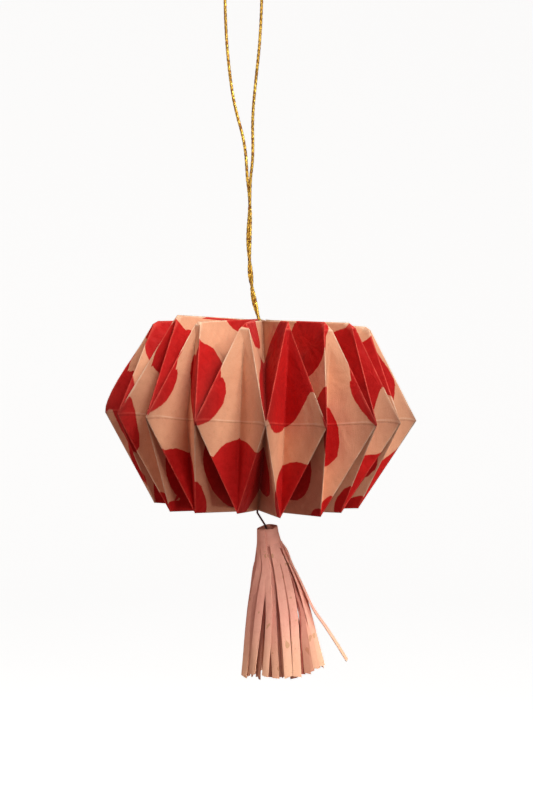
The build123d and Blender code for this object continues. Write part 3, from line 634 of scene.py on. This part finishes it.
# every panel's normal points out of the ball: turn the panels the same way round
edge_faces = {}
for fi, f in enumerate(faces):
    for a, b in ((f[0], f[1]), (f[1], f[2]), (f[2], f[0])):
        edge_faces.setdefault((min(a, b), max(a, b)), []).append(fi)
flip = np.zeros(len(F), bool)
start = next(i for i, p in enumerate(face_panels) if PANELS[p[1]] == ("E", "M", "B") and p[0] == 16)
a, b, c = verts[F[start]]
centre = lean(0, 0, 0)
flip[start] = np.dot(np.cross(b - a, c - a), (a + b + c) / 3 - centre) < 0
seen, queue = {start}, [start]
while queue:
    fi = queue.pop()
    f = faces[fi] if not flip[fi] else faces[fi][::-1]
    for a, b in ((f[0], f[1]), (f[1], f[2]), (f[2], f[0])):
        for gi in edge_faces[(min(a, b), max(a, b))]:
            if gi in seen:
                continue
            h = faces[gi]
            same = (a, b) in ((h[0], h[1]), (h[1], h[2]), (h[2], h[0]))
            flip[gi] = same
            seen.add(gi)
            queue.append(gi)
F[flip] = F[flip][:, ::-1]
UV[flip] = UV[flip][:, ::-1]

# Smooth what isn't a real fold: walls bend gently where the CAD has flat triangles.
p2 = UV
e0, e1, e2 = p2[:, 2] - p2[:, 1], p2[:, 0] - p2[:, 2], p2[:, 1] - p2[:, 0]


def cot(a, b):
    cr = np.abs(a[:, 0] * b[:, 1] - a[:, 1] * b[:, 0])
    return (a * b).sum(1) / np.maximum(cr, 1e-9)


w0, w1, w2 = cot(-e1, e2), cot(-e2, e0), cot(-e0, e1)
I = np.concatenate([F[:, 1], F[:, 2], F[:, 2], F[:, 0], F[:, 0], F[:, 1]])
J = np.concatenate([F[:, 2], F[:, 1], F[:, 0], F[:, 2], F[:, 1], F[:, 0]])
Wt = np.clip(np.concatenate([w0, w0, w1, w1, w2, w2]), 0.02, 12)
total = np.zeros(len(verts))
np.add.at(total, I, Wt)
free = fixed_fold == 0


def smoothed(p, rounds, mask, rate=0.9):
    p = p.copy()
    for _ in range(rounds):
        acc = np.zeros_like(p)
        np.add.at(acc, I, Wt[:, None] * p[J])
        q = acc / total[:, None]
        p[mask] += rate * (q - p)[mask]
    return p


flat_panels = verts.copy()
verts = smoothed(verts, 90, free)


def normals_of(p, f):
    n = np.cross(p[f[:, 1]] - p[f[:, 0]], p[f[:, 2]] - p[f[:, 0]])
    out = np.zeros_like(p)
    for q in range(3):
        np.add.at(out, f[:, q], n)
    return out / np.maximum(np.linalg.norm(out, axis=1)[:, None], 1e-12)


# Distances to the folds on the flat sheet, per vertex.
corner_v = F.ravel()
corner_uv = UV.reshape(-1, 2)
corner_k = np.repeat(np.array([p[0] for p in face_panels]), 3)
ridge = np.full(len(corner_v), 30.0)
groove = np.full(len(corner_v), 30.0)
for k in range(FIRST, FIRST + 16):
    m = np.nonzero(corner_k == k)[0]
    p = corner_uv[m]
    for group, store in ((MOUNTAINS, ridge), (VALLEYS, groove)):
        for a, b in group:
            pa = sheet_point(a.rstrip("+"), k, a.endswith("+"))
            pb = sheet_point(b.rstrip("+"), k, b.endswith("+"))
            store[m] = np.minimum(store[m], segment_distance(p, pa, pb))
        pa, pb = sheet_point("E", k, True), sheet_point("V", k, True)
        if store is groove:
            for a, b in (("E", "V"), ("V", "P"), ("E", "LV"), ("LV", "LP")):
                store[m] = np.minimum(store[m], segment_distance(p, sheet_point(a, k, True), sheet_point(b, k, True)))
deep = np.full(len(corner_v), 30.0)
for k in range(FIRST, FIRST + 16):
    m = np.nonzero(corner_k == k)[0]
    for plus in (False, True):
        for a, b in (("E", "V"), ("V", "P"), ("E", "LV"), ("LV", "LP")):
            deep[m] = np.minimum(deep[m], segment_distance(corner_uv[m], sheet_point(a, k, plus), sheet_point(b, k, plus)))
deep_v = np.full(len(verts), 30.0)
np.minimum.at(deep_v, corner_v, deep)
ridge_v = np.full(len(verts), 30.0)
groove_v = np.full(len(verts), 30.0)
np.minimum.at(ridge_v, corner_v, ridge)
np.minimum.at(groove_v, corner_v, groove)
u_v, v_v = np.zeros(len(verts)), np.zeros(len(verts))
u_v[corner_v], v_v[corner_v] = corner_uv[:, 0], corner_uv[:, 1]

# The ridge at the far left bulges outwards, and the far side of the top stands a little higher.
ridge_a, ridge_b = fold_point("E", 12), fold_point("L", 12)
along = np.clip(((verts - ridge_a) @ (ridge_b - ridge_a)) / ((ridge_b - ridge_a) @ (ridge_b - ridge_a)), 0, 1)
off = np.linalg.norm(verts - (ridge_a + along[:, None] * (ridge_b - ridge_a)), axis=1)
swell = np.interp(along, [0, 0.06, 0.18, 0.42, 0.75, 1.0], [0, 0.55, 1.0, 0.95, 0.2, 0]) * np.exp(-(off / 5.5) ** 2)
verts = verts + swell[:, None] * np.array((-1.45, 0.0, 0.35))
top_z = np.array([(p - centre)[2] for p in verts])
rise = np.clip((top_z - 26.8) / 2.0, 0, 1) * np.clip((verts[:, 1] + 2.0) / 6.0, 0, 1)
verts[:, 2] += 0.40 * rise

# Gentle life in the facets: they bow a little and are not quite flat.
nrm = normals_of(verts, F)
inside = np.clip(np.minimum(ridge_v, groove_v) / 5.0, 0, 1) ** 1.5
push = np.array([
    0.30 * noise.noise(Vector((u * 0.055, v * 0.045, 1.7))) + 0.16 * noise.noise(Vector((u * 0.15, v * 0.12, 5.1)))
    for u, v in zip(u_v, v_v)
])
verts = verts + nrm * (inside * push)[:, None]

# Folds of real paper are slightly round: pull ridges and valleys in a little.
acc = np.zeros_like(verts)
cnt = np.zeros(len(verts))
np.add.at(acc, I, verts[J])
np.add.at(cnt, I, 1)
mean = acc / cnt[:, None]
amount = np.select([fixed_fold == 1, fixed_fold == 2, fixed_fold == 4], [0.22, 0.30, 0.08], 0.0)
verts = verts + (mean - verts) * amount[:, None]

# The back of the paper, a fifth of a millimetre in.
THICK = 0.22
nrm = normals_of(verts, F)
back = verts - nrm * THICK
n = len(verts)
all_faces = [tuple(f) for f in F] + [tuple(int(i) + n for i in f[::-1]) for f in F]
directed = set()
for f in F:
    directed.update(((f[0], f[1]), (f[1], f[2]), (f[2], f[0])))
for a, b in directed:
    if (b, a) not in directed:
        all_faces += [(b, a, a + n), (b, a + n, b + n)]
ball = mesh_object("paper_ball", np.vstack([verts, back]), all_faces, dotted_paper)

sd = dot_distance(corner_uv[:, 0], corner_uv[:, 1])
per_corner = {}
for ci, (vi, uvp, s) in enumerate(zip(corner_v, corner_uv, sd)):
    per_corner[ci] = (uvp[0], uvp[1], s)
me = ball.data
nf = len(F)
loops = len(me.loops)
vals = np.zeros((loops, 3), np.float32)
vert_of_loop = np.zeros(loops, np.int32)
me.loops.foreach_get("vertex_index", vert_of_loop)
uv3 = np.concatenate([corner_uv, sd[:, None]], 1)
first = {}
vert_vals = np.zeros((n, 3))
vert_vals[corner_v] = uv3
vals[:] = vert_vals[vert_of_loop % n]
vals[: nf * 3] = uv3[:]
back_vals = uv3.reshape(-1, 3, 3)[:, ::-1].reshape(-1, 3)
vals[nf * 3: nf * 6] = back_vals
att = me.attributes.new("sheet", "FLOAT_VECTOR", "CORNER")
att.data.foreach_set("vector", vals.ravel())
fold_vals = np.stack([ridge_v, deep_v, v_v], 1)
att = me.attributes.new("folds", "FLOAT_VECTOR", "POINT")
att.data.foreach_set("vector", np.vstack([fold_vals, fold_vals]).astype(np.float32).ravel())
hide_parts("folded_paper_ball")

# ------------------------------------------------------------------ the tassel
# One strip of paper, slit into a fringe and rolled up: a spiral head with the
# fringe's strips hanging from it. The strips that the photograph shows are
# placed by where their middles show in it, on a cone round the tassel's axis.
TASSEL_TOP = at(2.40, -34.10)
TLEAN = math.radians(7.0)
DOWN = np.array((math.sin(TLEAN), 0.0, -math.cos(TLEAN)))
SIDE = np.array((math.cos(TLEAN), 0.0, math.sin(TLEAN)))
BACKWARD = np.array((0.0, 1.0, 0.0))
STRIP_T = 0.24

EYE_UP = math.radians(3.1032)
EYE = lean(0, 0, 0) + 399.35 * np.array((0, -math.cos(EYE_UP), math.sin(EYE_UP)))


def from_picture(px, py, y):
    """The point at depth y that shows at this place of the photograph."""
    d = np.array((0, math.cos(EYE_UP), -math.sin(EYE_UP))) + np.array((1.0, 0, 0)) * (px - 259.646) / 1302.9
    d = d - np.array((0, math.sin(EYE_UP), math.cos(EYE_UP))) * (py - 416.097) / 1302.9
    return EYE + d * (y - EYE[1]) / d[1]


def cone_radius(s):
    return float(np.interp(s, [0, 5.2, 8.4, 14, 24, 36, 47], [3.7, 4.25, 4.75, 6.1, 8.3, 10.8, 12.8]))


def strip_point(px, py, recess):
    s = (py - 527.3) * 0.3065 / math.cos(TLEAN)
    dx = (px - (267.5 + 0.1228 * (py - 527.3))) * 0.3065
    r = cone_radius(s)
    y = -(math.sqrt(max(r * r - dx * dx, 0.08 * r * r)) * 0.92 - recess)
    return from_picture(px, py, min(y, 1.5))


def hermite(points, n):
    """A smooth line through a few points."""
    p = np.array(points)
    d = np.concatenate([[0], np.cumsum(np.linalg.norm(np.diff(p, axis=0), axis=1))])
    m = np.gradient(p, d, axis=0)
    out = []
    for s in np.linspace(0, d[-1], n):
        i = min(int(np.searchsorted(d, s, side="right")) - 1, len(d) - 2)
        h = d[i + 1] - d[i]
        t = (s - d[i]) / h
        out.append((2 * t**3 - 3 * t**2 + 1) * p[i] + (t**3 - 2 * t**2 + t) * h * m[i]
                   + (-2 * t**3 + 3 * t**2) * p[i + 1] + (t**3 - t**2) * h * m[i + 1])
    return np.array(out), np.linspace(0, d[-1], n)


T_VERTS, T_FACES, T_UV, T_SHADE = [], [], [], []


def add_ribbon(line, s, width, rolls, curl, u0, seed, cut=0.0, inner=0.0):
    """One paper strip along a line: closed, a quarter of a millimetre thick, slightly curled."""
    rows, cols = len(line), 5
    t = tangents(line)
    base = len(T_VERTS)
    for side_sign in (1, -1):
        for i in range(rows):
            axis_pt = TASSEL_TOP + DOWN * float(np.dot(line[i] - TASSEL_TOP, DOWN))
            out = unit(line[i] - axis_pt)
            w = unit(np.cross(out, t[i]))
            nrm = unit(np.cross(t[i], w))
            f = i / (rows - 1)
            wide = width * float(np.interp(s[i], [5, 7, 11, 21], [0.62, 0.70, 0.84, 1.0]))
            a = math.radians(float(np.interp(f, [0, 0.15, 0.5, 1.0], [0, rolls[0] * 0.4, rolls[0], rolls[1]])))
            a += 0.10 * math.sin(5.0 * f + seed) * min(1, f * 3)
            w, nrm = w * math.cos(a) + nrm * math.sin(a), nrm * math.cos(a) - w * math.sin(a)
            c = curl * min(1.0, f * 2.5)
            for j in range(cols):
                q = 2 * j / (cols - 1) - 1
                p = line[i] + w * (q * wide / 2) - nrm * (c * q * q) + nrm * (side_sign * STRIP_T / 2)
                if i == rows - 1:
                    p = p + t[i] * (cut * q)
                T_VERTS.append(p)
                T_UV.append((u0 + q * width / 2, -float(s[i]), 0.0))
                T_SHADE.append(inner)
    n1 = rows * cols
    for i in range(rows - 1):
        for j in range(cols - 1):
            a, b = base + i * cols + j, base + i * cols + j + 1
            c, d = base + (i + 1) * cols + j + 1, base + (i + 1) * cols + j
            T_FACES.append((a, b, c, d))
            T_FACES.append((a + n1, d + n1, c + n1, b + n1))
    rim = [base + j for j in range(cols)]
    rim += [base + i * cols + cols - 1 for i in range(1, rows)]
    rim += [base + (rows - 1) * cols + j for j in range(cols - 2, -1, -1)]
    rim += [base + i * cols for i in range(rows - 2, 0, -1)]
    for a, b in zip(rim, rim[1:] + rim[:1]):
        T_FACES.append((b, a, a + n1, b + n1))


# recess, width, roll at the middle and the end, curl, and the strip's middle at
# places of the photograph from the head down to its end
FRONT = [
    (0.0, 2.25, (-38, -28), 0.10, [(258.5, 552), (259.2, 563), (254.2, 590), (251.0, 608), (247.4, 640), (243.8, 676.6)]),
    (-0.1, 2.35, (-16, -10), 0.14, [(263.0, 552), (265.0, 563), (262.0, 590), (259.4, 608), (255.6, 640), (251.7, 674.2)]),
    (0.0, 2.15, (6, -4), 0.12, [(265.2, 552), (267.4, 563), (268.4, 590), (269.0, 608), (267.6, 640), (264.8, 676.4)]),
    (0.0, 2.55, (-6, 6), 0.16, [(273.6, 552), (276.2, 563), (280.8, 590), (283.2, 608), (286.2, 640), (288.6, 677.4)]),
    (-0.15, 2.60, (14, 14), 0.18, [(278.3, 552), (283.0, 563), (290.0, 590), (293.2, 608), (295.6, 640), (297.4, 676.8)]),
    (0.0, 2.30, (46, 52), 0.12, [(284.6, 552), (290.4, 563), (301.8, 590), (307.0, 608), (315.0, 640), (321.6, 666.0)]),
    (-0.5, 1.50, (6, 14), 0.08, [(286.2, 552), (291.8, 563), (298.4, 576), (305.0, 590), (310.8, 603), (315.6, 612), (322.8, 622), (334.8, 640), (347.2, 660)]),
]
LOOSE = 6
BEHIND = [
    (1.0, 2.2, (-40, -34), 0.08, [(256.4, 552), (255.6, 563), (252.0, 590), (249.8, 608), (246.8, 640), (244.6, 674)]),
    (1.6, 2.1, (4, 8), 0.10, [(262.0, 552), (264.0, 563), (265.0, 590), (263.0, 608), (260.4, 640), (257.6, 676.8)]),
    (1.0, 2.2, (-6, -8), 0.12, [(268.8, 552), (271.4, 563), (272.6, 590), (272.7, 608), (273.8, 640), (275.8, 678.4)]),
    (1.3, 2.0, (54, 60), 0.08, [(270.0, 552), (272.9, 563), (276.2, 590), (278.5, 608), (281.0, 640), (283.4, 677.0)]),
    (2.4, 2.0, (10, 26), 0.10, [(260.0, 552), (262.0, 563), (258.0, 590), (255.8, 608), (252.0, 640), (247.6, 673.6)]),
    (2.6, 2.0, (-16, -20), 0.10, [(277.0, 552), (283.0, 563), (293.6, 590), (299.4, 608), (301.8, 640), (303.6, 674.2)]),
    (3.0, 2.2, (20, 24), 0.08, [(281.0, 552), (287.0, 563), (296.0, 590), (301.2, 608), (306.0, 640), (309.6, 672.0)]),
    (1.5, 2.0, (34, 46), 0.08, [(283.0, 552), (289.2, 563), (297.0, 590), (300.8, 608), (304.6, 640), (307.6, 673.6)]),
    (1.9, 2.0, (16, 24), 0.12, [(284.0, 552), (290.4, 563), (298.6, 590), (302.8, 608), (308.4, 640), (311.9, 671.6)]),
    (1.0, 2.0, (28, 34), 0.12, [(284.6, 552), (291.0, 563), (300.0, 590), (304.8, 608), (311.2, 640), (316.4, 668.6)]),
    (0.9, 2.2, (-20, -16), 0.08, [(260.5, 552), (261.6, 563), (257.4, 590), (254.4, 612), (251.4, 640), (247.8, 675.6)]),
    (0.8, 2.0, (4, 4), 0.08, [(277.0, 552), (281.0, 563), (286.2, 590), (288.8, 608), (291.4, 640), (293.4, 676.4)]),
    (1.8, 2.2, (0, 0), 0.10, [(265.5, 552), (267.4, 563), (268.8, 590), (269.0, 608), (269.6, 640), (270.6, 677.2)]),
    (1.9, 2.0, (0, 0), 0.10, [(270.5, 552), (273.2, 563), (276.2, 590), (277.6, 608), (279.2, 640), (280.6, 677.2)]),
]
strip_no = 0
for group in (FRONT, BEHIND):
    for recess, width, rolls, curl, places in group:
        # the root lies in the head's own surface, under its last turn
        first = strip_point(places[0][0], places[0][1], recess)
        axis_pt = TASSEL_TOP + DOWN * float(np.dot(first - TASSEL_TOP, DOWN))
        out = unit(first - axis_pt)
        r0 = 3.78 if group is FRONT else 3.30
        root = TASSEL_TOP + DOWN * 5.0 + out * r0
        near = TASSEL_TOP + DOWN * 7.5 + out * (r0 + 0.62)
        if group is FRONT and strip_no == LOOSE:
            near = TASSEL_TOP + DOWN * 6.9 + out * 5.0
        pts = [root, near] + [strip_point(x, y, recess * min(1.0, 0.35 + 0.2 * i)) for i, (x, y) in enumerate(places) if i > 0]
        line, s = hermite(pts, 34)
        cut = (0.32, -0.25, 0.15, -0.4, 0.2, 0.05, -0.15)[strip_no % 7]
        # the last value is the strip's painted shade: more the further back it sits, and a little that changes from
        # strip to strip
        add_ribbon(line, s + 5.0, width, rolls, curl, strip_no * 2.05, 1.7 * strip_no, cut, min(1.0, max(0.0, recess - 0.4) * 0.45) + (0.0, 0.10, 0.03, 0.16, 0.06)[strip_no * 2 % 5])
        strip_no += 1


def plain_strip(phi, r_root, shape, width, rolls, seed, inner=0.0):
    """A strip that the photograph doesn't show, hanging at this angle round the axis."""
    global strip_no
    out = SIDE * math.cos(phi) + BACKWARD * math.sin(phi)
    along = unit(np.cross(DOWN, out))
    pts = [TASSEL_TOP + DOWN * 5.0 + out * r_root, TASSEL_TOP + DOWN * 7.5 + out * (r_root + 0.62)]
    for q, (s, r) in enumerate(shape):
        pts.append(TASSEL_TOP + DOWN * s + out * r + along * (0.5 * math.sin(seed * 2.1 + q)) * (s / 46))
    line, s = hermite(pts, 30)
    add_ribbon(line, s + 5.0, width, rolls, 0.12, strip_no * 2.05, seed, 0.25 * math.sin(3.1 * seed), inner)
    strip_no += 1


for i in range(8):          # the outer strips on the far side
    phi = math.radians(16 + 21.1 * i)
    wob = math.sin(2.7 * i + 0.4)
    plain_strip(phi, 3.78, [(14, 6.1 + 0.15 * wob), (24, 8.3 + 0.4 * wob), (36, 10.4 + 0.6 * wob), (46.2 + 0.5 * wob, 12.0 + 0.8 * wob)],
                2.3, (10 * wob, 18 * wob), 1.3 * i)
for i in range(5):          # those just inside them
    phi = math.radians(30 + 30 * i)
    wob = math.sin(1.9 * i + 0.9)
    plain_strip(phi, 3.0, [(14, 5.0), (24, 6.9 + 0.3 * wob), (36, 8.8 + 0.4 * wob), (45.9 + 0.5 * wob, 10.2 + 0.6 * wob)],
                2.2, (14 * wob, 24 * wob), 3 + i, 0.35)
for i, phi in enumerate((-150, -126, -102, -78, -54, -30)):          # inner ones, behind the gaps at the front
    phi = math.radians(phi)
    wob = math.sin(1.9 * i + 2.0)
    plain_strip(phi, 2.6, [(14, 4.3), (24, 6.0 + 0.3 * wob), (36, 7.9 + 0.4 * wob), (45.0 + 0.5 * wob, 9.2 + 0.6 * wob)],
                2.3, (16 * wob, 24 * wob), 7 + i, 0.8)
for i, phi in enumerate((-6, 187)):          # one at each side, between the front and the back
    plain_strip(math.radians(phi), 3.3, [(14, 5.3), (24, 7.2), (36, 9.2), (45.4, 10.6)], 2.2, (6, 14), 15 + i, 0.25)

# the head: the uncut margin rolled up from the middle outwards
TURNS = 5.3
WRAP_END = math.radians(-105)          # the last turn ends here, towards the viewer and a little left
seg = 44
count = int(TURNS * seg)
rowsz = [0.0, 0.12, 0.6, 2.0, 3.6, 5.2, 6.4, 7.3]
base = len(T_VERTS)
for layer in (1, -1):
    for i in range(count + 1):
        phi = WRAP_END - 2 * math.pi * (count - i) / seg
        turn = i / seg
        frac = turn / TURNS
        out = SIDE * math.cos(phi) + BACKWARD * math.sin(phi)
        for q, sz in enumerate(rowsz):
            r_top = 1.05 + (3.28 - 1.05) * (turn / TURNS) + 0.28 * (1 - frac) * math.exp(-((sz - 3.6) / 1.5) ** 2)
            flare = 0.55 * (sz / 7.2) + 0.50 * (sz / 7.2) ** 2
            r = r_top + flare * frac
            if turn > TURNS - 0.12:
                r += 0.10 * (turn - (TURNS - 0.12)) / 0.12
            lip = 0.04 if q == 0 else 0.0
            dent = 0.10 * noise.noise(Vector((math.cos(phi) * 1.2, math.sin(phi) * 1.2, sz * 0.25))) * min(1, sz / 2)
            top = 0.45 * (1 - math.sin(phi + 0.25)) / 2 * 1.7 - 0.25 + 0.10 * math.sin(7 * frac + 3 * phi)
            s_here = sz + top * max(0.0, 1 - sz / 5.2)
            T_VERTS.append(TASSEL_TOP + DOWN * s_here + out * (r + dent + layer * (STRIP_T / 2 - lip)))
            T_UV.append((60 + turn * 12.0, -sz, 0.0))
            T_SHADE.append(0.0)
nr = len(rowsz)
n1 = (count + 1) * nr
for i in range(count):
    for q in range(nr - 1):
        a, b = base + i * nr + q, base + i * nr + q + 1
        c, d = base + (i + 1) * nr + q + 1, base + (i + 1) * nr + q
        T_FACES.append((a, b, c, d))
        T_FACES.append((a + n1, d + n1, c + n1, b + n1))
rim = [base + i * nr for i in range(count + 1)]
rim += [base + count * nr + q for q in range(1, nr)]
rim += [base + i * nr + nr - 1 for i in range(count - 1, -1, -1)]
rim += [base + q for q in range(nr - 2, 0, -1)]
for a, b in zip(rim, rim[1:] + rim[:1]):
    T_FACES.append((a, b, b + n1, a + n1))

tassel = mesh_object("paper_tassel", T_VERTS, T_FACES, tassel_paper)
att = tassel.data.attributes.new("sheet", "FLOAT_VECTOR", "POINT")
att.data.foreach_set("vector", np.array(T_UV, np.float32).ravel())
# the third value is how much painted shade each strip gets
att = tassel.data.attributes.new("folds", "FLOAT_VECTOR", "POINT")
att.data.foreach_set("vector", np.array([(30, 30, q) for q in T_SHADE], np.float32).ravel())
bm = bmesh.new()
bm.from_mesh(tassel.data)
bmesh.ops.recalc_face_normals(bm, faces=bm.faces)
bm.to_mesh(tassel.data)
bm.free()
sharp = tassel.data.attributes.new("sharp_edge", "BOOLEAN", "EDGE")
flags = np.zeros(len(tassel.data.edges), bool)
bm = bmesh.new()
bm.from_mesh(tassel.data)
bm.edges.ensure_lookup_table()
for i, e in enumerate(bm.edges):
    if len(e.link_faces) == 2 and e.calc_face_angle(0) > math.radians(50):
        flags[i] = True
bm.free()
sharp.data.foreach_set("value", flags)
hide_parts("tassel")

# ------------------------------------------------------------ smaller threads
for name, mat in (("cord_knot", gold_cord), ("top_gathering_thread", dark_thread),
                  ("bottom_gathering_thread", dark_thread), ("tassel_thread", dark_thread)):
    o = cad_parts[name]
    for s in o.material_slots:
        s.material = mat

# ------------------------------------------------------ lights, floor, camera
scene = bpy.context.scene
scene.view_settings.view_transform = "Standard"
scene.view_settings.look = "None"

cam_data = bpy.data.cameras.new("photo_camera")
cam = bpy.data.objects.new("photo_camera", cam_data)
scene.collection.objects.link(cam)
cam_data.sensor_width = 36
cam_data.lens = 1302.9 / 803 * 36
cam_data.shift_x = (266.5 - 259.646) / 803
cam_data.shift_y = (416.097 - 401.5) / 803
cam.location = (0.00485, -0.398764, -0.112581)
cam.rotation_euler = (math.radians(90 - 3.1032), 0, 0)
cam_data.clip_start, cam_data.clip_end = 0.01, 30
scene.camera = cam

world = bpy.data.worlds.new("soft_white")
scene.world = world
world.use_nodes = True
wn = world.node_tree
wn.nodes.clear()
wout = wn.nodes.new("ShaderNodeOutputWorld")
path = wn.nodes.new("ShaderNodeLightPath")
seen_bg = wn.nodes.new("ShaderNodeBackground")
seen_bg.inputs[0].default_value = (1, 1, 1, 1)
seen_bg.inputs[1].default_value = 1.0
lit_bg = wn.nodes.new("ShaderNodeBackground")
lit_bg.inputs[0].default_value = (1.0, 0.56, 0.52, 1)
lit_bg.inputs[1].default_value = 0.18
shine_bg = wn.nodes.new("ShaderNodeBackground")
shine_bg.inputs[0].default_value = (1.0, 0.94, 0.84, 1)
shine_bg.inputs[1].default_value = 0.55
shine = wn.nodes.new("ShaderNodeMixShader")
wn.links.new(path.outputs["Is Glossy Ray"], shine.inputs[0])
wn.links.new(lit_bg.outputs[0], shine.inputs[1])
wn.links.new(shine_bg.outputs[0], shine.inputs[2])
mixw = wn.nodes.new("ShaderNodeMixShader")
wn.links.new(path.outputs["Is Camera Ray"], mixw.inputs[0])
wn.links.new(shine.outputs[0], mixw.inputs[1])
wn.links.new(seen_bg.outputs[0], mixw.inputs[2])
wn.links.new(mixw.outputs[0], wout.inputs[0])


def area_light(name, where, aim, size, power, colour=(1, 1, 1)):
    la = bpy.data.lights.new(name, "AREA")
    la.shape = "DISK"
    la.size = size
    la.energy = power
    la.color = colour
    ob = bpy.data.objects.new(name, la)
    scene.collection.objects.link(ob)
    ob.location = where
    ob.rotation_euler = (Vector(aim) - Vector(where)).to_track_quat("-Z", "Y").to_euler()
    return ob


BALL_AT = Vector((0.00485, 0, -0.1342))


def from_angle(az, el, dist):
    a, e = math.radians(az), math.radians(el)
    return BALL_AT + dist * Vector((math.sin(a) * math.cos(e), -math.cos(a) * math.cos(e), math.sin(e)))


area_light("key", from_angle(50, 55, 1.1), BALL_AT, 0.30, 8.2, (1.0, 1.0, 0.95))
area_light("front", from_angle(20, 30, 1.1), BALL_AT, 0.30, 3.5, (1.0, 0.98, 0.94))
area_light("right", from_angle(50, 30, 1.1), BALL_AT, 0.30, 1.1, (1.0, 0.96, 0.90))
area_light("left", from_angle(-70, 5, 1.1), BALL_AT, 0.30, 2.2, (1.0, 0.85, 0.77))
area_light("rear", from_angle(165, 30, 1.3), BALL_AT, 0.50, 3.0, (1.0, 0.96, 0.92))

spot = bpy.data.lights.new("tassel_spot", "SPOT")
spot.energy = 30.0
spot.color = (1.0, 0.94, 0.90)
spot.spot_size = math.radians(4.4)
spot.spot_blend = 0.6
spot.shadow_soft_size = 0.05
spot_ob = bpy.data.objects.new("tassel_spot", spot)
scene.collection.objects.link(spot_ob)
spot_ob.location = from_angle(38, -8, 1.1)
spot_ob.rotation_euler = (Vector((0.013, 0, -0.205)) - spot_ob.location).to_track_quat("-Z", "Y").to_euler()

# A pale floor well below, running up into a pale wall behind.
floor_mat = bpy.data.materials.new("pale_floor")
floor_mat.use_nodes = True
fb = floor_mat.node_tree.nodes["Principled BSDF"]
fb.inputs["Base Color"].default_value = (0.93, 0.93, 0.92, 1)
fb.inputs["Roughness"].default_value = 0.9
fb.inputs["Specular IOR Level"].default_value = 0.1
fb.inputs["Emission Color"].default_value = (0.92, 1.0, 1.005, 1)
fb.inputs["Emission Strength"].default_value = 0.83
fv, ff = [], []
R0, Z0, RC = 2.6, -0.70, 1.2
rings = [(0.001, Z0), (1.3, Z0), (R0, Z0)]
for i in range(1, 13):
    a = math.pi / 2 * i / 12
    rings.append((R0 + RC * math.sin(a), Z0 + RC * (1 - math.cos(a))))
rings.append((R0 + RC, 3.2))
SEG = 64
for r, z in rings:
    for j in range(SEG):
        a = 2 * math.pi * j / SEG
        fv.append((r * math.cos(a), r * math.sin(a), z))
for i in range(len(rings) - 1):
    for j in range(SEG):
        k = (j + 1) % SEG
        ff.append((i * SEG + j, i * SEG + k, (i + 1) * SEG + k, (i + 1) * SEG + j))
fm = bpy.data.meshes.new("floor")
fm.from_pydata(fv, [], ff)
fm.materials.append(floor_mat)
fm.polygons.foreach_set("use_smooth", [True] * len(fm.polygons))
floor = bpy.data.objects.new("floor", fm)
scene.collection.objects.link(floor)
floor.visible_diffuse = False
floor.visible_glossy = False
floor.visible_shadow = False
